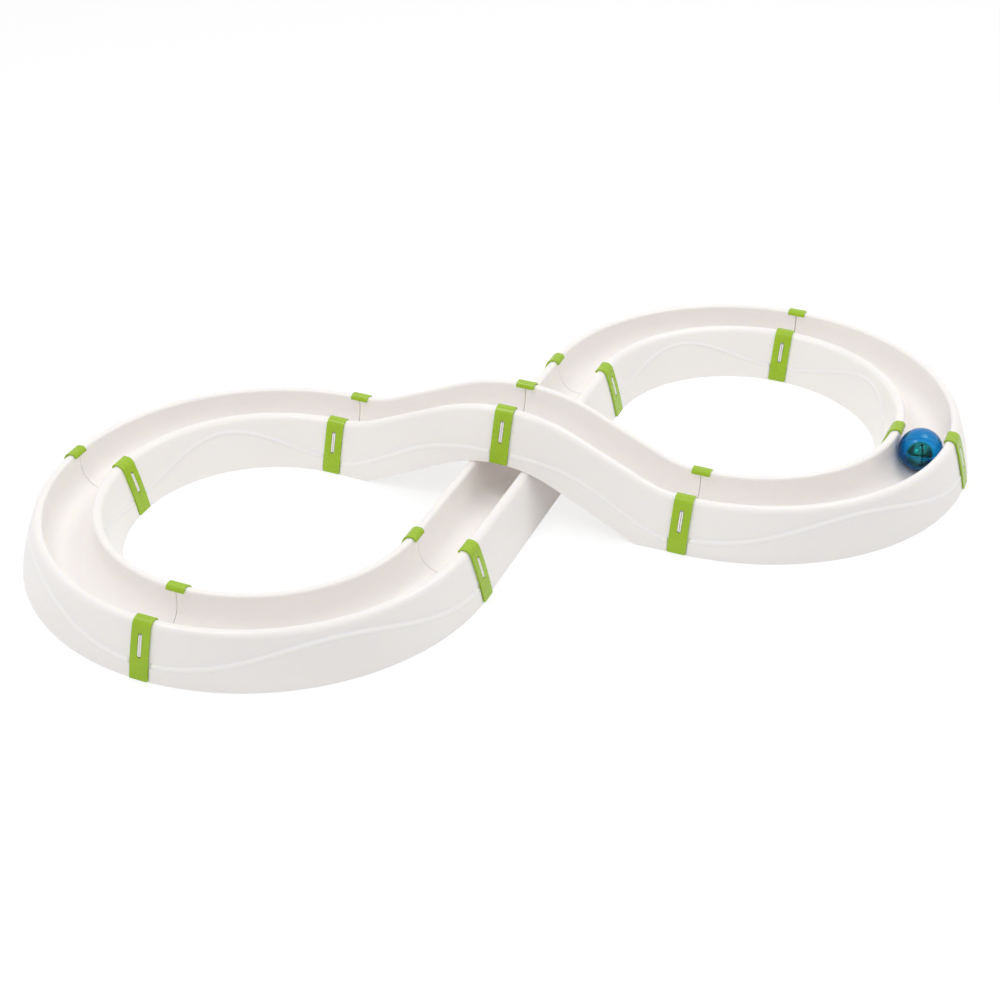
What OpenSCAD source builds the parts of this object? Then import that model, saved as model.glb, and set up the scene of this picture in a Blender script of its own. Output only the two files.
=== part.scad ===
// Figure-eight ball track for a cat, with a humped bridge, joining clips and a belled ball.
// The origin is on the floor under the crossing. +X runs along the length to the right loop.

/* [Layout] */
// Radius of each loop, to the middle of the trough
loop_radius = 156; // [140:1:180]
// Height that the bridge rises above the lower track
bridge_rise = 47; // [46:0.5:56]
// Length of a ramp's straight slope between the bends at its foot and its top
slope_length = 63; // [50:1:75]
// Length over which a ramp's skirt still reaches the floor
ramp_foot = 35; // [20:1:45]
// Gap at each seam between two sections
seam_gap = 0.6; // [0.1:0.1:1]

/* [Track section] */
// Height of the rim above the floor
track_height = 44; // [42:0.5:46]
// Thickness of the moulded wall
wall = 2; // [1.6:0.1:2.4]
// Half width of the trough, and the radius of its floor
trough_radius = 19.3; // [19.2:0.1:22]
// Height of the trough floor
trough_floor = 12; // [9:0.5:14]
// Radius of the rim's inner edge
rim_radius = 2.5; // [2.4:0.1:3]
// Width of the level crest of the rim
rim_crest = 0.3; // [0.2:0.1:2]
// Radius of the rim's outer shoulder
shoulder_radius = 6; // [5:0.1:8]
// Half width of the section at the floor
base_half = 39; // [38:0.5:44]
// Radius of the skirt's outward bow, seen from the end
skirt_radius = 280; // [200:5:400]

/* [Wave] */
// How far the skirts of the curves and ramps stand out below their wave
wave_proud = 0.6; // [0.3:0.1:0.9]
// Height of the soft step along the wave
wave_width = 3; // [1.5:0.1:4]
// Number of ledges that make the step soft
wave_ledges = 2; // [1:1:3]
// Height of the wave at the ends of a curve
wave_low = 13; // [11:0.5:16]
// How much higher the wave is at the middle of a curve
wave_swell = 21; // [10:0.5:22]
// Height of the wave above the skirt's edge at the ends of a ramp
ramp_wave_low = 9; // [6:0.5:12]
// How much further the wave rises than the ramp at the ramp's middle
ramp_wave_swell = 8.5; // [4:0.5:10]
// Gap between the end of the wave and the clip beside it
wave_clear = 0.8; // [0.5:0.1:3]

/* [Clips] */
// Width of a clip along the track
clip_width = 15.4; // [12:0.2:16]
// Thickness of a clip
clip_thick = 1.4; // [1:0.1:1.6]
// Play between a clip and the nearest point of the wall it hugs
clip_play = 0.02; // [0.01:0.01:0.1]
// Depth of the clip's lip inside the trough, below the rim
clip_lip = 2.5; // [2:0.5:6]
// Height of the clip's lower edge above the section's lower edge
clip_foot = 0.6; // [0.4:0.1:2]
// Radius that rounds the lower corners of a clip
clip_round = 0.8; // [0.4:0.1:3]
// Length of the slot in a clip
slot_length = 19; // [14:0.2:22]
// Width of the slot in a clip
slot_width = 3.6; // [3:0.1:5]
// Height of the slot's middle above the section's lower edge
slot_middle = 27; // [20:0.5:28]
// Gap between the rib on the sections and each end of the slot
rib_end_gap = 1.1; // [0.3:0.1:2]
// Gap between the rib on the sections and each side of the slot
rib_side_gap = 0.4; // [0.2:0.1:0.7]

/* [Ball] */
// Outer radius of the ball
ball_radius = 18.5; // [17.5:0.1:18.6]
// Thickness of the ball's shell
shell_wall = 1.5; // [1.2:0.1:1.8]
// Gap between the ball and the trough floor
ball_gap = 0.3; // [0.2:0.1:0.5]
// Place of the ball round the right loop, from the loop's far end
ball_angle = -47.8; // [-80:0.1:100]
// Height of the lap joint between the two halves of the shell
lap_height = 1.6; // [1:0.1:3]
// Gap at the lap joint
lap_gap = 0.15; // [0.05:0.05:0.25]

/* [Bell] */
// Outer radius of the bell
bell_radius = 10.5; // [9:0.1:11]
// Thickness of the bell's metal
bell_wall = 0.6; // [0.4:0.1:1]
// Gap between the bell and the shell it lies in
bell_gap = 0.3; // [0.2:0.1:0.5]
// Width of the rolled band round the bell
band_width = 1.6; // [1:0.1:3]
// How far the band stands out
band_proud = 0.5; // [0.3:0.1:0.8]
// Width of a sound slot in the bell
sound_width = 1.6; // [1:0.1:2]
// Radius of the hole at each end of a sound slot
sound_hole = 1.5; // [1.1:0.1:1.8]
// Angle from the bell's pole to the hole at the end of a sound slot
sound_reach = 52; // [35:1:60]
// Outer radius of the hanging loop
hanger_radius = 2.2; // [1.8:0.1:2.6]
// Radius of the hanging loop's wire
hanger_wire = 0.5; // [0.4:0.05:0.7]
// Height of the hanging loop's middle above the bell
hanger_rise = 0.9; // [0.4:0.1:1.2]
// Radius of the pellet inside the bell
pellet_radius = 2.6; // [1.6:0.1:4]
// Tilt of the bell's slots up from straight down
bell_tilt = 118; // [60:1:150]
// Turn of the bell's slots round the vertical
bell_turn = -23.7; // [-90:0.1:90]

/* [Hidden] */
$fn = 96;

// Overrun of every cut past the face that it opens
over = 1;
// How deep a rib sinks into the wall that carries it
root = wall / 2;

track_white = [0.93, 0.925, 0.91];
clip_green = [0.55, 0.75, 0.15];
ball_blue = [0.1, 0.45, 0.85, 0.5];
bell_gold = [0.8, 0.62, 0.25];

// Seams lie every quarter turn, 45 degrees either side of the X axis, so the crossing is square
quarter = 90;
first_seam = quarter / 2;
loop_centre = loop_radius / sin(first_seam);
seam_place = loop_radius * sin(first_seam);
seam_angle = asin(seam_gap / 2 / loop_radius);

// Shoulder arc, and the big arc of the skirt that leaves it without a corner
shoulder_x = trough_radius + rim_radius + rim_crest;
shoulder_z = track_height - shoulder_radius;
skirt_arm = skirt_radius - shoulder_radius;
skirt_span = sqrt(pow(base_half - shoulder_x, 2) + pow(shoulder_z, 2));
skirt_cosine = (pow(skirt_span, 2) + pow(skirt_arm, 2) - pow(skirt_radius, 2)) / (2 * skirt_span * skirt_arm);
skirt_turn = acos(skirt_cosine);
skirt_lean = 180 - atan2(shoulder_z, base_half - shoulder_x) - skirt_turn;
lean_x = cos(skirt_lean);
lean_z = sin(skirt_lean);
skirt_x = shoulder_x - skirt_arm * lean_x;
skirt_z = shoulder_z - skirt_arm * lean_z;
outer_limit = base_half + shoulder_radius;

// Slope of a ramp, and the radius of its two equal bends at the trough floor
ramp_slope = 2 * atan(bridge_rise / (loop_radius + slope_length));
ramp_radius = (loop_radius - slope_length * cos(ramp_slope)) / (2 * sin(ramp_slope));
ramp_seam = asin(seam_gap / 2 / ramp_radius);
bend_low_z = trough_floor + ramp_radius;
bend_high_z = bridge_rise + trough_floor - ramp_radius;
skirt_spare = trough_floor;

// Lower edge of a ramp's skirt: a straight rise from the foot that meets the upper arc
edge_radius = ramp_radius - trough_floor;
edge_span = sqrt(pow(loop_radius - ramp_foot, 2) + pow(bend_high_z, 2));
edge_rise = asin(edge_radius / edge_span) + atan2(bend_high_z, loop_radius - ramp_foot);
edge_length = sqrt(pow(edge_span, 2) - pow(edge_radius, 2));

// A clip is straight, so its gap leaves room for the bow of the tightest wall under half its width
tightest_bow = min(bend_low_z - track_height, loop_radius - base_half);
clip_gap = clip_play + tightest_bow - sqrt(pow(tightest_bow, 2) - pow(clip_width / 2, 2));
clip_out = clip_gap + clip_thick;
// Steps in which a wave is drawn
wave_steps = 24;
// Where a wave stops beside a clip, and how far from the section's middle the skirt carries it
wave_stop = clip_width / 2 + wave_clear;
wave_out = (base_half + shoulder_x + shoulder_radius) / 2;
straight_length = 2 * loop_radius;

slot_low = slot_middle - (slot_length - slot_width) / 2;
slot_high = slot_middle + (slot_length - slot_width) / 2;
rib_half = slot_width / 2 - rib_side_gap;
rib_low = slot_middle - slot_length / 2 + rib_end_gap + rib_half;
rib_high = slot_middle + slot_length / 2 - rib_end_gap - rib_half;

ball_height = trough_floor + ball_gap + ball_radius;
hollow_radius = ball_radius - shell_wall;
lap_radius = ball_radius - shell_wall / 2;

// The bell lies in the hollow on its body or on its hanging loop, whichever touches first
hanger_tip = bell_radius + hanger_rise + hanger_radius;
hanger_sink = -hanger_tip * cos(bell_tilt);
hollow_reach = hollow_radius - bell_gap;
hanger_drop = sqrt(pow(hanger_sink, 2) + pow(hollow_reach, 2) - pow(hanger_tip, 2)) - hanger_sink;
bell_drop = min(hanger_drop, hollow_reach - bell_radius - band_proud);
pellet_drop = bell_radius - bell_wall - bell_gap - pellet_radius;

// Region inside one outer wall, from the middle out. grow pushes its outline outwards, and low is
// the height where it ends.
module wall_region(grow = 0, low = 0) {
    translate([0, low]) square([shoulder_x, track_height + grow - low]);
    intersection() {
        translate([shoulder_x, shoulder_z]) circle(shoulder_radius + grow);
        translate([0, shoulder_z]) square([outer_limit, shoulder_radius + grow]);
    }
    intersection() {
        translate([skirt_x, skirt_z]) circle(skirt_radius + grow, $fn = 360);
        polygon([
            [0, low],
            [outer_limit, low],
            [outer_limit, shoulder_z + (outer_limit - shoulder_x) * lean_z / lean_x],
            [shoulder_x, shoulder_z],
            [0, shoulder_z]
        ]);
    }
}

// Opening of one side of the trough, with the rim's inner edge rounded. shrink narrows it.
module trough_region(shrink = 0) {
    side = trough_radius - shrink;
    edge_x = trough_radius + rim_radius;
    edge_z = track_height - rim_radius;
    middle_z = trough_floor + trough_radius;
    intersection() {
        translate([0, middle_z]) circle(side);
        translate([0, trough_floor]) square([side, trough_radius]);
    }
    translate([0, middle_z]) square([side, edge_z - middle_z]);
    difference() {
        translate([0, edge_z]) square([edge_x, rim_radius + shrink + over]);
        translate([edge_x, edge_z]) circle(rim_radius + shrink);
    }
}

// Solid that holds one side of the trough, under its floor and beside its wall
module trough_body() {
    middle_z = trough_floor + trough_radius;
    intersection() {
        translate([0, middle_z]) circle(trough_radius + wall);
        translate([0, trough_floor - wall]) square([trough_radius + wall, trough_radius + wall]);
    }
    translate([0, middle_z]) square([trough_radius + wall, track_height - middle_z]);
}

// Half of the moulded section: trough, rim, shoulder and skirt, open underneath
module half_profile(low = 0) {
    difference() {
        wall_region(0, low);
        trough_region();
        difference() {
            wall_region(-wall, low - over);
            trough_body();
        }
    }
}

module profile(low = 0) {
    half_profile(low);
    mirror([1, 0]) half_profile(low);
}

// Extrudes an outline straight along +Y from the origin
module run(length) {
    translate([0, length]) rotate([quarter, 0]) linear_extrude(length) children();
}

// Half of the oblong rib that a clip's slot drops over, at a section's end in the plane y = 0
module end_rib() {
    rib_out = seam_gap / 2;
    intersection() {
        translate([0, rib_half]) rotate([quarter, 0]) linear_extrude(rib_half - rib_out) difference() {
            wall_region(clip_out);
            wall_region(-root);
        }
        rotate([quarter, 0, quarter]) linear_extrude(outer_limit) {
            translate([0, rib_low]) circle(rib_half);
            translate([0, rib_high]) circle(rib_half);
            translate([0, rib_low]) square([rib_half, rib_high - rib_low]);
        }
    }
}

module end_ribs() {
    end_rib();
    mirror([1, 0]) end_rib();
}

// Layer of one skirt that a ledge of the wave adds, from inside the wall to the ledge's face.
// Ledges count from the highest, which stands out least.
module ledge_layer(ledge, low = 0) {
    share = ledge / wave_ledges;
    intersection() {
        translate([skirt_x, skirt_z]) difference() {
            circle(skirt_radius + wave_proud * share, $fn = 360);
            circle(skirt_radius - root * share, $fn = 360);
        }
        translate([shoulder_x, low]) square([outer_limit, shoulder_z - low]);
    }
}

module ledge_layers(ledge, low = 0) {
    ledge_layer(ledge, low);
    mirror([1, 0]) ledge_layer(ledge, low);
}

// Height of the wave at a share of a section's length
function wave_height(share, low, swell, rise) =
    low + rise * (1 - cos(180 * share)) / 2 + swell * (1 - cos(360 * share)) / 2;

// Side view of a ledge along a section of some length, from its edge on the wave down, without its ends
module ledge_side(ledge, length, ends, low, swell, rise = 0) {
    middle = low + wave_width * ((wave_ledges + 1) / 2 - ledge) / wave_ledges;
    shares = [for (i = [0 : wave_steps]) (ends + (length - 2 * ends) * i / wave_steps) / length];
    edge = [for (share = shares) [length * share, wave_height(share, middle, swell, rise)]];
    polygon(concat(edge, [[length - ends, -over], [ends, -over]]));
}

// Wave on one wall of a curved section about the origin, whose middle is on the +X axis:
// side is 1 for the outer wall and -1 for the inner
module curve_wave(side) {
    chord = 2 * (loop_radius + side * wave_out) * sin(first_seam);
    stop_angle = asin(wave_stop / (loop_radius + side * base_half));
    for (ledge = [1 : wave_ledges]) intersection() {
        rotate(stop_angle - first_seam) rotate_extrude(angle = quarter - 2 * stop_angle, $fn = 180)
            translate([loop_radius, 0]) mirror([1 - side, 0]) ledge_layer(ledge);
        rotate([quarter, 0, quarter]) linear_extrude(loop_radius + outer_limit)
            translate([-chord / 2, 0]) ledge_side(ledge, chord, 0, wave_low, wave_swell);
    }
}

// Quarter circle of section about the origin, anticlockwise from start_angle
module curve(start_angle) {
    rotate(start_angle) {
        rotate(seam_angle) rotate_extrude(angle = quarter - 2 * seam_angle, $fn = 180)
            translate([loop_radius, 0]) profile();
        translate([loop_radius, 0]) end_ribs();
        rotate(quarter) translate([loop_radius, 0]) mirror([0, 1]) end_ribs();
        rotate(first_seam) {
            curve_wave(1);
            curve_wave(-1);
        }
    }
}

// Sweeps an outline along the bend that leaves the origin along -Y and curves up, as at a ramp's foot
module bend_low() {
    translate([0, 0, bend_low_z]) mirror([0, 1]) rotate([0, quarter])
        rotate_extrude(angle = ramp_slope - ramp_seam, $fn = 360)
            translate([bend_low_z, 0]) rotate(quarter) children();
}

// Sweeps an outline along the bend that leaves the origin along +Y and curves down, as at a ramp's top
module bend_high() {
    translate([0, 0, -edge_radius]) rotate([0, -quarter])
        rotate_extrude(angle = ramp_slope - ramp_seam, $fn = 360)
            translate([edge_radius, 0]) rotate(-quarter) children();
}

// Sweeps an outline along a ramp's whole length, from its foot at the origin
module ramp_sweep() {
    translate([0, 0, bend_low_z]) rotate([ramp_slope, 0]) translate([0, 0, -bend_low_z]) {
        bend_low() children();
        run(slope_length) children();
        translate([0, slope_length]) bend_high() children();
    }
}

// Pushes a side view, with its length along +Y, through the whole width of a section
module across() {
    translate([-outer_limit, 0]) rotate([quarter, 0, quarter]) linear_extrude(2 * outer_limit) children();
}

// Space under a ramp's skirt, seen from the side
module ramp_under() {
    depth = skirt_spare + over;
    translate([-over, -depth]) square([ramp_foot + over, depth]);
    polygon([
        [ramp_foot, -depth],
        [ramp_foot, 0],
        [ramp_foot + edge_length * cos(edge_rise), edge_length * sin(edge_rise)],
        [loop_radius, bend_high_z],
        [loop_radius, -depth]
    ]);
    translate([loop_radius, bend_high_z]) circle(edge_radius, $fn = 360);
}

// Ramp section: foot at the origin, rising along +Y to half the bridge
module ramp() {
    difference() {
        union() {
            ramp_sweep() profile(-skirt_spare);
            for (ledge = [1 : wave_ledges]) intersection() {
                ramp_sweep() ledge_layers(ledge, -skirt_spare);
                across()
                    ledge_side(ledge, loop_radius, wave_stop, ramp_wave_low, ramp_wave_swell, bridge_rise);
            }
        }
        across() ramp_under();
    }
    end_ribs();
    translate([0, loop_radius, bridge_rise]) mirror([0, 1]) end_ribs();
}

module curve_right_front() { color(track_white) translate([loop_centre, 0]) curve(-3 * first_seam); }
module curve_right_end() { color(track_white) translate([loop_centre, 0]) curve(-first_seam); }
module curve_right_back() { color(track_white) translate([loop_centre, 0]) curve(first_seam); }
module curve_left_front() { color(track_white) translate([-loop_centre, 0]) curve(-3 * first_seam); }
module curve_left_end() { color(track_white) translate([-loop_centre, 0]) curve(3 * first_seam); }
module curve_left_back() { color(track_white) translate([-loop_centre, 0]) curve(first_seam); }

// Long section between the loops, under the bridge
module straight_low() {
    color(track_white) rotate(-first_seam) translate([0, -loop_radius]) {
        translate([0, seam_gap / 2]) run(straight_length - seam_gap) profile();
        end_ribs();
        translate([0, straight_length]) mirror([0, 1]) end_ribs();
    }
}

module ramp_left() { color(track_white) translate([-seam_place, seam_place]) rotate(-3 * first_seam) ramp(); }
module ramp_right() { color(track_white) translate([seam_place, -seam_place]) rotate(first_seam) ramp(); }

// Outline of a clip seen from the side: lip, crest and outer leg
module clip_outline() {
    difference() {
        wall_region(clip_out, clip_foot);
        trough_region(clip_out);
        difference() {
            wall_region(clip_gap, clip_foot - over);
            trough_region(clip_gap);
        }
        translate([0, clip_foot - over]) square([shoulder_x, track_height - clip_lip - clip_foot + over]);
    }
}

// Clip that straddles the seam at y = 0, on the +X side of the section
module clip() {
    half = clip_width / 2;
    difference() {
        intersection() {
            translate([0, half]) rotate([quarter, 0]) linear_extrude(clip_width) clip_outline();
            rotate([quarter, 0, quarter]) linear_extrude(outer_limit) {
                for (side = [-1, 1]) translate([side * (half - clip_round), clip_foot + clip_round])
                    circle(clip_round);
                translate([clip_round - half, clip_foot]) square([clip_width - 2 * clip_round, clip_round]);
                translate([-half, clip_foot + clip_round]) square([clip_width, track_height]);
            }
        }
        translate([shoulder_x, 0]) rotate([quarter, 0, quarter]) linear_extrude(outer_limit) {
            translate([0, slot_low]) circle(slot_width / 2);
            translate([0, slot_high]) circle(slot_width / 2);
            translate([-slot_width / 2, slot_low]) square([slot_width, slot_high - slot_low]);
        }
    }
}

// Places a clip at a seam of a loop: side is 1 for the right loop and -1 for the left
module outer_clip(side, turn) {
    color(clip_green) translate([side * loop_centre, 0]) rotate(turn) translate([loop_radius, 0]) clip();
}

module inner_clip(side, turn) {
    color(clip_green) translate([side * loop_centre, 0]) rotate(turn) translate([loop_radius, 0])
        mirror([1, 0]) clip();
}

module clip_1_outer() { outer_clip(-1, first_seam); }
module clip_1_inner() { inner_clip(-1, first_seam); }
module clip_2_front() {
    color(clip_green) translate([0, 0, bridge_rise]) rotate(first_seam) mirror([1, 0]) clip();
}
module clip_2_back() { color(clip_green) translate([0, 0, bridge_rise]) rotate(first_seam) clip(); }
module clip_3_outer() { outer_clip(1, -3 * first_seam); }
module clip_3_inner() { inner_clip(1, -3 * first_seam); }
module clip_4_outer() { outer_clip(1, -first_seam); }
module clip_4_inner() { inner_clip(1, -first_seam); }
module clip_5_outer() { outer_clip(1, first_seam); }
module clip_5_inner() { inner_clip(1, first_seam); }
module clip_6_outer() { outer_clip(1, 3 * first_seam); }
module clip_6_inner() { inner_clip(1, 3 * first_seam); }
module clip_7_outer() { outer_clip(-1, -first_seam); }
module clip_7_inner() { inner_clip(-1, -first_seam); }
module clip_8_outer() { outer_clip(-1, -3 * first_seam); }
module clip_8_inner() { inner_clip(-1, -3 * first_seam); }
module clip_9_outer() { outer_clip(-1, 3 * first_seam); }
module clip_9_inner() { inner_clip(-1, 3 * first_seam); }

// Puts its children at the middle of the ball
module at_ball() {
    translate([loop_centre, 0, ball_height]) rotate(ball_angle) translate([loop_radius, 0]) children();
}

// Upper half of the ball, with the outer leaf of the lap joint
module ball_upper_shell() {
    color(ball_blue) at_ball() rotate_extrude() difference() {
        translate([0, lap_gap]) square([ball_radius, ball_radius]);
        difference() {
            translate([0, -ball_radius]) square([ball_radius + over, 2 * ball_radius + over]);
            circle(ball_radius);
        }
        circle(hollow_radius);
        intersection() {
            circle(lap_radius + lap_gap / 2);
            square([ball_radius, lap_height + lap_gap]);
        }
    }
}

// Lower half of the ball, with the inner leaf of the lap joint
module ball_lower_shell() {
    color(ball_blue) at_ball() rotate_extrude() {
        intersection() {
            difference() {
                circle(ball_radius);
                circle(hollow_radius);
            }
            translate([0, -ball_radius]) square([ball_radius, ball_radius]);
        }
        intersection() {
            difference() {
                circle(lap_radius - lap_gap / 2);
                circle(hollow_radius);
            }
            square([ball_radius, lap_height]);
        }
    }
}

// Puts its children at the middle of the bell, with the bell's slots towards -Z
module at_bell() {
    translate([loop_centre, 0, ball_height - bell_drop]) rotate(ball_angle) translate([loop_radius, 0])
        rotate(bell_turn - ball_angle) rotate([-bell_tilt, 0]) children();
}

// Half of the bell's hollow body and band, above the parting plane
module bell_half() {
    rotate_extrude() {
        intersection() {
            difference() {
                circle(bell_radius);
                circle(bell_radius - bell_wall);
            }
            square([bell_radius, bell_radius]);
        }
        translate([bell_radius - bell_wall, 0]) square([bell_wall + band_proud, band_width / 2]);
    }
}

// Upper cup of the bell, with its hanging loop
module bell_upper_cup() {
    color(bell_gold) at_bell() {
        bell_half();
        difference() {
            translate([0, 0, bell_radius + hanger_rise]) rotate([quarter, 0]) rotate_extrude($fn = 48)
                translate([hanger_radius - hanger_wire, 0]) circle(hanger_wire, $fn = 24);
            sphere(bell_radius - bell_wall / 2);
        }
    }
}

// Lower cup of the bell, with its crossed sound slots
module bell_lower_cup() {
    color(bell_gold) at_bell() mirror([0, 0, 1]) difference() {
        bell_half();
        for (turn = [0, quarter]) rotate(turn) intersection() {
            translate([-bell_radius * sin(sound_reach), -sound_width / 2, band_width])
                cube([2 * bell_radius * sin(sound_reach), sound_width, bell_radius]);
            sphere(bell_radius + over);
        }
        for (turn = [0 : quarter : 3 * quarter]) rotate(turn) rotate([0, sound_reach])
            cylinder(h = bell_radius + over, r = sound_hole);
    }
}

// Pellet that lies loose at the bottom of the bell
module bell_pellet() {
    color(bell_gold) translate([loop_centre, 0, ball_height - bell_drop - pellet_drop]) rotate(ball_angle)
        translate([loop_radius, 0]) sphere(pellet_radius);
}

curve_right_front();
curve_right_end();
curve_right_back();
curve_left_front();
curve_left_end();
curve_left_back();
straight_low();
ramp_left();
ramp_right();
clip_1_outer();
clip_1_inner();
clip_2_front();
clip_2_back();
clip_3_outer();
clip_3_inner();
clip_4_outer();
clip_4_inner();
clip_5_outer();
clip_5_inner();
clip_6_outer();
clip_6_inner();
clip_7_outer();
clip_7_inner();
clip_8_outer();
clip_8_inner();
clip_9_outer();
clip_9_inner();
ball_upper_shell();
ball_lower_shell();
bell_upper_cup();
bell_lower_cup();
bell_pellet();
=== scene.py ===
import math

import bmesh
import bpy
from mathutils import Matrix, Vector
from mathutils.bvhtree import BVHTree


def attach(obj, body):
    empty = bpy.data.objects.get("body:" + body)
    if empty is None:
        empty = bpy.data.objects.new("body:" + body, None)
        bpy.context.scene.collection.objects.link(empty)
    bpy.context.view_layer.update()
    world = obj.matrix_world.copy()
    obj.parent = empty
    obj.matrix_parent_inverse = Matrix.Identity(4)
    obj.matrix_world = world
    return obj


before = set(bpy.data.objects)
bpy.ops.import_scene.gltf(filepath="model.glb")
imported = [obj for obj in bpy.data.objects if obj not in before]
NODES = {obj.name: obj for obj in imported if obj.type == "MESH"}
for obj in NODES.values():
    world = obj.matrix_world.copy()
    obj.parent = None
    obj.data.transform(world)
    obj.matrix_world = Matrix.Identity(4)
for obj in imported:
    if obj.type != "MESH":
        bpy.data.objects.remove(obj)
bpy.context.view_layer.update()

# Camera: where the photograph was taken from, in the frame's metres and degrees
CAMERA_AZIMUTH = -21.38
CAMERA_ELEVATION = 32.34
CAMERA_ROLL = -0.19
CAMERA_DISTANCE = 1.5414
CAMERA_TARGET = Vector((-0.0448, 0.0270, 0))
FOCAL_PIXELS = 1792.9
AXIS_PIXEL_X = 454.9
AXIS_PIXEL_Y = 482.9
IMAGE_PIXELS = 1000
SENSOR = 36

# Floor: half its width, how far it lies under the track, its paint as the track sees it, and its paint and
# glow as they show
FLOOR_HALF = 6
FLOOR_DROP = 0.0002
FLOOR_PAINT = 0.95
FLOOR_SHOWN_PAINT = 0.3
FLOOR_GLOW = 0.74
WHITE = (1, 1, 1, 1)

# Light: the even world, how white it shows, and a soft lamp above each loop
WORLD_LIGHT = 0.715
WORLD_SHOWN = 1
LAMP_SIZE = 0.6
LAMP_POWER = 4.6
LAMP_PLACES = {"key_right": (0.75, 0.1, 1.35), "key_left": (-0.6, 0.1, 1.35)}
# Times that light may bounce between pale walls, so that it reaches under the bridge
WALL_BOUNCES = 16

# Noise: the range that holds most of it, and its detail in colours and in bumps
NOISE_LOW = 0.3
NOISE_HIGH = 0.7
TINT_DETAIL = 3
BUMP_DETAIL = 2

# Layout of the track
LOOP_RADIUS = 0.156
LOOP_CENTRE = LOOP_RADIUS * math.sqrt(2)
BRIDGE_RISE = 0.047
CURVE_HALF_TURN = math.pi / 4
# Each curved section's loop, 1 for the right and -1 for the left, and the direction of its middle in degrees
CURVES = {
    "curve_right_front": (1, -90), "curve_right_end": (1, 0), "curve_right_back": (1, 90),
    "curve_left_front": (-1, -90), "curve_left_end": (-1, 180), "curve_left_back": (-1, 90),
}
# Each ramp's foot lies this way from the crossing
RAMPS = {"ramp_left": Vector((-1, 1, 0)), "ramp_right": Vector((1, -1, 0))}

# Wave on the skirts: how far the skirt below it stands out, and how far from a section's ends it stops
WAVE_PROUD = 0.0006
WAVE_STOP = 0.0085
# On a curve, the wave's distance from the middle line, its lowest height and its swell
CURVE_WAVE_OUT = 0.0336
CURVE_WAVE_LOW = 0.013
CURVE_WAVE_SWELL = 0.021
# On a ramp, its height at the foot and its swell on top of the rise
RAMP_WAVE_LOW = 0.009
RAMP_WAVE_SWELL = 0.0085
# Rounded edge of the wave: its reach up and down the skirt, its bulge, and how far down the bulge leans
EDGE_REACH = 0.0023
EDGE_BULGE = 0.00045
EDGE_LEAN = 1.2
# How far the edge sinks into the skirt, and how deep its back lies
EDGE_SINK = 0.00002
EDGE_DEPTH = 0.0004
# Faces across the edge, and faces along it
EDGE_ROWS = 8
EDGE_STATIONS = 96
# Distance from a section's middle line at which a ray to its skirt starts
RAY_START = 0.07


def add_camera():
    """Puts the camera at the photograph's place, with the shift that its framing needs."""
    azimuth = math.radians(CAMERA_AZIMUTH)
    elevation = math.radians(CAMERA_ELEVATION)
    roll = math.radians(CAMERA_ROLL)
    level = math.cos(elevation)
    back = Vector((math.sin(azimuth) * level, -math.cos(azimuth) * level, math.sin(elevation)))
    right = Vector((math.cos(azimuth), math.sin(azimuth), 0))
    up = back.cross(right)
    turned_right = right * math.cos(roll) + up * math.sin(roll)
    turned_up = up * math.cos(roll) - right * math.sin(roll)
    camera = bpy.data.cameras.new("camera")
    camera.sensor_width = SENSOR
    camera.lens = FOCAL_PIXELS / IMAGE_PIXELS * SENSOR
    camera.shift_x = 0.5 - AXIS_PIXEL_X / IMAGE_PIXELS
    camera.shift_y = AXIS_PIXEL_Y / IMAGE_PIXELS - 0.5
    holder = bpy.data.objects.new("camera", camera)
    bpy.context.scene.collection.objects.link(holder)
    turn = Matrix((turned_right, turned_up, back)).transposed().to_4x4()
    holder.matrix_world = Matrix.Translation(CAMERA_TARGET + back * CAMERA_DISTANCE) @ turn
    bpy.context.scene.camera = holder


def set_sockets(node, values):
    for socket, value in values.items():
        node.inputs[socket].default_value = value


def new_material(name):
    """A material whose tree holds a Principled shader at the output."""
    material = bpy.data.materials.new(name)
    material.use_nodes = True
    tree = material.node_tree
    tree.nodes.clear()
    output = tree.nodes.new("ShaderNodeOutputMaterial")
    shader = tree.nodes.new("ShaderNodeBsdfPrincipled")
    tree.links.new(shader.outputs["BSDF"], output.inputs["Surface"])
    return material, tree, shader


def noise(tree, scale, detail):
    """Noise in the object's own coordinates, which are the frame's metres."""
    place = tree.nodes.new("ShaderNodeTexCoord")
    texture = tree.nodes.new("ShaderNodeTexNoise")
    set_sockets(texture, {"Scale": scale, "Detail": detail})
    tree.links.new(place.outputs["Object"], texture.inputs["Vector"])
    return texture.outputs["Fac"]


def add_tint(tree, shader, scale, first, second):
    """Base colour that wanders between two near tints."""
    ramp = tree.nodes.new("ShaderNodeValToRGB")
    ramp.color_ramp.elements[0].position = NOISE_LOW
    ramp.color_ramp.elements[0].color = (*first, 1)
    ramp.color_ramp.elements[1].position = NOISE_HIGH
    ramp.color_ramp.elements[1].color = (*second, 1)
    tree.links.new(noise(tree, scale, TINT_DETAIL), ramp.inputs["Fac"])
    tree.links.new(ramp.outputs["Color"], shader.inputs["Base Color"])


def add_roughness(tree, shader, scale, low, high):
    """Roughness that wanders from low to high."""
    span = tree.nodes.new("ShaderNodeMapRange")
    set_sockets(span, {"From Min": NOISE_LOW, "From Max": NOISE_HIGH, "To Min": low, "To Max": high})
    tree.links.new(noise(tree, scale, TINT_DETAIL), span.inputs["Value"])
    tree.links.new(span.outputs["Result"], shader.inputs["Roughness"])


def add_bump(tree, shader, scale, strength, distance):
    """Fine grain of the mould."""
    bump = tree.nodes.new("ShaderNodeBump")
    set_sockets(bump, {"Strength": strength, "Distance": distance})
    tree.links.new(noise(tree, scale, BUMP_DETAIL), bump.inputs["Height"])
    tree.links.new(bump.outputs["Normal"], shader.inputs["Normal"])


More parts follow.
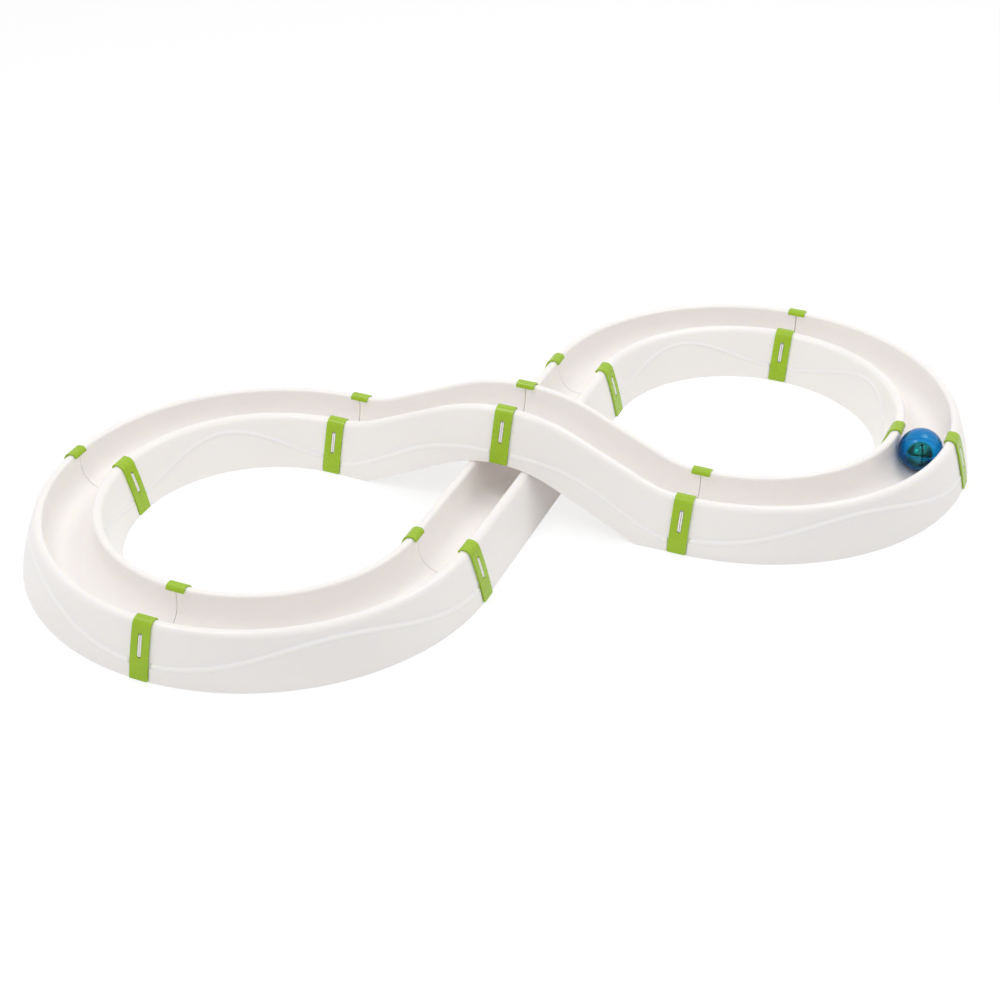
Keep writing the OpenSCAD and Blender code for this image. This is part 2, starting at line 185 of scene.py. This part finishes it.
def track_plastic(name, first, second):
    """Off-white moulded plastic, half glossy, with faint flow marks."""
    material, tree, shader = new_material(name)
    add_tint(tree, shader, scale=9, first=first, second=second)
    add_roughness(tree, shader, scale=60, low=0.30, high=0.38)
    add_bump(tree, shader, scale=900, strength=0.08, distance=0.0001)
    shader.subsurface_method = "RANDOM_WALK"
    set_sockets(shader, {
        "IOR": 1.49,
        "Subsurface Weight": 0.3,
        "Subsurface Radius": (1, 0.85, 0.35),
        "Subsurface Scale": 0.001,
    })
    return material


def clip_plastic():
    """Lime green moulded plastic."""
    material, tree, shader = new_material("clip_plastic")
    add_tint(tree, shader, scale=60, first=(0.303, 0.488, 0.004), second=(0.334, 0.526, 0.006))
    add_roughness(tree, shader, scale=300, low=0.23, high=0.31)
    add_bump(tree, shader, scale=1500, strength=0.10, distance=0.0001)
    return material


def ball_plastic():
    """Clear plastic shell, with a blue dye in its wall."""
    material, tree, shader = new_material("ball_plastic")
    add_tint(tree, shader, scale=80, first=(0.18, 0.80, 0.96), second=(0.24, 0.84, 0.98))
    set_sockets(shader, {"Roughness": 0.03, "Transmission Weight": 1, "IOR": 1.3})
    dye = tree.nodes.new("ShaderNodeVolumeAbsorption")
    set_sockets(dye, {"Color": (0.02, 0.74, 0.90, 1), "Density": 1000})
    tree.links.new(dye.outputs["Volume"], tree.nodes["Material Output"].inputs["Volume"])
    return material


def bell_metal():
    """Brass sheet, pressed and polished."""
    material, tree, shader = new_material("bell_metal")
    add_tint(tree, shader, scale=150, first=(0.72, 0.50, 0.20), second=(0.80, 0.58, 0.26))
    add_roughness(tree, shader, scale=400, low=0.16, high=0.28)
    set_sockets(shader, {"Metallic": 1})
    return material


def pellet_metal():
    """Plain steel."""
    material, tree, shader = new_material("pellet_metal")
    add_tint(tree, shader, scale=300, first=(0.50, 0.50, 0.50), second=(0.60, 0.60, 0.60))
    add_roughness(tree, shader, scale=500, low=0.25, high=0.40)
    set_sockets(shader, {"Metallic": 1})
    return material


def seen_directly(tree):
    """Gives 1 on rays from the camera and on those that metal and clear plastic send on, else 0."""
    path = tree.nodes.new("ShaderNodeLightPath")
    seen = path.outputs["Is Camera Ray"]
    for ray in ("Is Glossy Ray", "Is Transmission Ray"):
        either = tree.nodes.new("ShaderNodeMath")
        either.operation = "MAXIMUM"
        tree.links.new(seen, either.inputs[0])
        tree.links.new(path.outputs[ray], either.inputs[1])
        seen = either.outputs[0]
    return seen


def mix_when_seen(tree, unseen, shown):
    """Shader that is one thing to the camera and in reflections, and another to the track's light."""
    mix = tree.nodes.new("ShaderNodeMixShader")
    tree.links.new(seen_directly(tree), mix.inputs["Fac"])
    tree.links.new(unseen.outputs[0], mix.inputs[1])
    tree.links.new(shown.outputs[0], mix.inputs[2])
    return mix


def stage_material():
    """White floor that keeps a soft shadow and shows white to the camera and in reflections."""
    material = bpy.data.materials.new("stage")
    material.use_nodes = True
    tree = material.node_tree
    tree.nodes.clear()
    output = tree.nodes.new("ShaderNodeOutputMaterial")
    paint = tree.nodes.new("ShaderNodeBsdfDiffuse")
    set_sockets(paint, {"Color": (FLOOR_PAINT, FLOOR_PAINT, FLOOR_PAINT, 1)})
    faint = tree.nodes.new("ShaderNodeBsdfDiffuse")
    set_sockets(faint, {"Color": (FLOOR_SHOWN_PAINT, FLOOR_SHOWN_PAINT, FLOOR_SHOWN_PAINT, 1)})
    glow = tree.nodes.new("ShaderNodeEmission")
    set_sockets(glow, {"Strength": FLOOR_GLOW})
    shown = tree.nodes.new("ShaderNodeAddShader")
    tree.links.new(faint.outputs[0], shown.inputs[0])
    tree.links.new(glow.outputs[0], shown.inputs[1])
    mix = mix_when_seen(tree, paint, shown)
    tree.links.new(mix.outputs[0], output.inputs["Surface"])
    return material


def add_stage():
    """Floor under the track."""
    mesh = bpy.data.meshes.new("floor")
    corners = [(x, y, -FLOOR_DROP) for x, y in ((-1, -1), (1, -1), (1, 1), (-1, 1))]
    corners = [(x * FLOOR_HALF, y * FLOOR_HALF, z) for x, y, z in corners]
    mesh.from_pydata(corners, [], [(0, 1, 2, 3)])
    mesh.materials.append(stage_material())
    floor = bpy.data.objects.new("floor", mesh)
    bpy.context.scene.collection.objects.link(floor)


def add_lamp(name, place):
    """Soft round lamp that looks at the floor between the crossing and the spot below it."""
    lamp = bpy.data.lights.new(name, "AREA")
    lamp.shape = "DISK"
    lamp.size = LAMP_SIZE
    lamp.energy = LAMP_POWER
    holder = bpy.data.objects.new(name, lamp)
    bpy.context.scene.collection.objects.link(holder)
    holder.location = place
    gaze = Vector((place[0] / 2, 0, 0)) - Vector(place)
    holder.rotation_euler = gaze.to_track_quat("-Z", "Y").to_euler()


def add_light():
    """Even white surroundings with the two lamps."""
    world = bpy.data.worlds.new("studio")
    world.use_nodes = True
    tree = world.node_tree
    tree.nodes.clear()
    output = tree.nodes.new("ShaderNodeOutputWorld")
    lit = tree.nodes.new("ShaderNodeBackground")
    set_sockets(lit, {"Color": WHITE, "Strength": WORLD_LIGHT})
    shown = tree.nodes.new("ShaderNodeBackground")
    set_sockets(shown, {"Color": WHITE, "Strength": WORLD_SHOWN})
    mix = mix_when_seen(tree, lit, shown)
    tree.links.new(mix.outputs[0], output.inputs["Surface"])
    bpy.context.scene.world = world
    for name, place in LAMP_PLACES.items():
        add_lamp(name, place)


def slot_of(name):
    """The slot of a CAD node, which is also the name of its material."""
    if name.startswith("clip_"):
        return "clip_plastic"
    if name.startswith("ball_"):
        return "ball_plastic"
    if name == "bell_pellet":
        return "pellet_metal"
    if name.startswith("bell_"):
        return "bell_metal"
    return "track_plastic"


def dress(name, material):
    """Gives a carried-over CAD node its material."""
    node = NODES[name]
    node.data.materials.clear()
    node.data.materials.append(material)


def surface_of(name):
    """Surface of a CAD node, for rays."""
    mesh = NODES[name].data
    corners = [vertex.co.copy() for vertex in mesh.vertices]
    return BVHTree.FromPolygons(corners, [tuple(face.vertices) for face in mesh.polygons])


def wave_height(share, low, swell, rise=0.0):
    """Height of the wave at a share of a section's length."""
    return low + rise * (1 - math.cos(math.pi * share)) / 2 + swell * (1 - math.cos(math.tau * share)) / 2


def skirt_pair(surface, start, aim, height):
    """Points of the skirt just above and below the wave, on rays that aim across the section."""
    pair = []
    for rise in (EDGE_REACH, -EDGE_REACH):
        origin = Vector((start.x, start.y, height + rise))
        pair.append(surface.ray_cast(origin, aim)[0])
    return pair


def curve_stations(surface, loop, middle, side):
    """Skirt points along the wave of a curved section: side is 1 for the outer wall and -1 for the inner."""
    centre = Vector((loop * LOOP_CENTRE, 0, 0))
    wave_radius = LOOP_RADIUS + side * CURVE_WAVE_OUT
    chord = 2 * wave_radius * math.sin(CURVE_HALF_TURN)
    reach = CURVE_HALF_TURN - WAVE_STOP / wave_radius
    for step in range(EDGE_STATIONS + 1):
        angle = reach * (2 * step / EDGE_STATIONS - 1)
        share = wave_radius * math.sin(angle) / chord + 0.5
        height = wave_height(share, CURVE_WAVE_LOW, CURVE_WAVE_SWELL)
        turn = math.radians(middle) + angle
        outward = Vector((math.cos(turn), math.sin(turn), 0)) * side
        start = centre + outward * side * LOOP_RADIUS + outward * RAY_START
        yield skirt_pair(surface, start, -outward, height), outward


def ramp_stations(surface, way, side):
    """Skirt points along the wave of a ramp, from its foot to the bridge, on one side or the other."""
    along = -way.normalized()
    foot = -along * LOOP_RADIUS
    outward = along.cross(Vector((0, 0, 1))) * side
    for step in range(EDGE_STATIONS + 1):
        length = WAVE_STOP + (LOOP_RADIUS - 2 * WAVE_STOP) * step / EDGE_STATIONS
        height = wave_height(length / LOOP_RADIUS, RAMP_WAVE_LOW, RAMP_WAVE_SWELL, BRIDGE_RISE)
        start = foot + along * length + outward * RAY_START
        yield skirt_pair(surface, start, -outward, height), outward


def edge_outline(upper, lower, outward):
    """Outline of the wave's rounded edge between two points of the skirt, closed inside the wall."""
    slope = lower - upper
    proud = (outward - slope * (outward.dot(slope) / slope.length_squared)).normalized()
    down = slope - proud * WAVE_PROUD
    points = []
    for row in range(EDGE_ROWS + 1):
        share = row / EDGE_ROWS
        step = WAVE_PROUD * share * share * (3 - 2 * share)
        bulge = EDGE_BULGE * math.sin(math.pi * share ** EDGE_LEAN) ** 2
        points.append(upper + down * share + proud * (step + bulge - EDGE_SINK))
    points.append(lower - proud * EDGE_DEPTH)
    points.append(upper - proud * EDGE_DEPTH)
    return points


def turn_faces_outward(mesh):
    solid = bmesh.new()
    solid.from_mesh(mesh)
    bmesh.ops.recalc_face_normals(solid, faces=solid.faces)
    solid.to_mesh(mesh)
    solid.free()


def add_wave(name, stations, finish):
    """The rounded edge of the wave on one skirt of a section, as a closed strip."""
    points, faces, smooth = [], [], []
    for (upper, lower), outward in stations:
        outline = edge_outline(upper, lower, outward)
        points.extend(outline)
    sides = len(outline)
    for ring in range(EDGE_STATIONS):
        for side in range(sides):
            low = ring * sides + side
            high = ring * sides + (side + 1) % sides
            faces.append((low, high, high + sides, low + sides))
            smooth.append(side < EDGE_ROWS)
    faces.append(tuple(range(sides - 1, -1, -1)))
    faces.append(tuple(range(len(points) - sides, len(points))))
    smooth.extend((False, False))
    mesh = bpy.data.meshes.new(name)
    mesh.from_pydata(points, [], faces)
    mesh.polygons.foreach_set("use_smooth", smooth)
    mesh.materials.append(finish)
    turn_faces_outward(mesh)
    piece = bpy.data.objects.new(name, mesh)
    bpy.context.scene.collection.objects.link(piece)
    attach(piece, "track")


add_camera()
add_stage()
add_light()

PLAIN_PLASTIC = track_plastic("track_plastic", (0.905, 0.873, 0.854), (0.925, 0.895, 0.877))
# Lighter copy of the track plastic, a painted highlight: it makes the wave's rounded edge show paler than
# the lamps alone make it
PAINTED_HIGHLIGHT_PLASTIC = track_plastic("painted_highlight_plastic", (0.960, 0.922, 0.888), (0.975, 0.938, 0.906))
MATERIALS = {
    "track_plastic": PLAIN_PLASTIC,
    "clip_plastic": clip_plastic(),
    "ball_plastic": ball_plastic(),
    "bell_metal": bell_metal(),
    "pellet_metal": pellet_metal(),
}

for node_name in NODES:
    dress(node_name, MATERIALS[slot_of(node_name)])

# The outer waves of the curves and both waves of each ramp carry the painted highlight; the inner waves of
# the curves stay plain
for section, (loop_side, direction) in CURVES.items():
    skirt = surface_of(section)
    add_wave("outer_wave_" + section, curve_stations(skirt, loop_side, direction, 1), PAINTED_HIGHLIGHT_PLASTIC)
    add_wave("inner_wave_" + section, curve_stations(skirt, loop_side, direction, -1), PLAIN_PLASTIC)
for section, foot_way in RAMPS.items():
    skirt = surface_of(section)
    add_wave("first_wave_" + section, ramp_stations(skirt, foot_way, 1), PAINTED_HIGHLIGHT_PLASTIC)
    add_wave("second_wave_" + section, ramp_stations(skirt, foot_way, -1), PAINTED_HIGHLIGHT_PLASTIC)

bpy.context.scene.view_settings.view_transform = "Standard"
bpy.context.scene.cycles.diffuse_bounces = WALL_BOUNCES
bpy.context.scene.cycles.max_bounces = WALL_BOUNCES
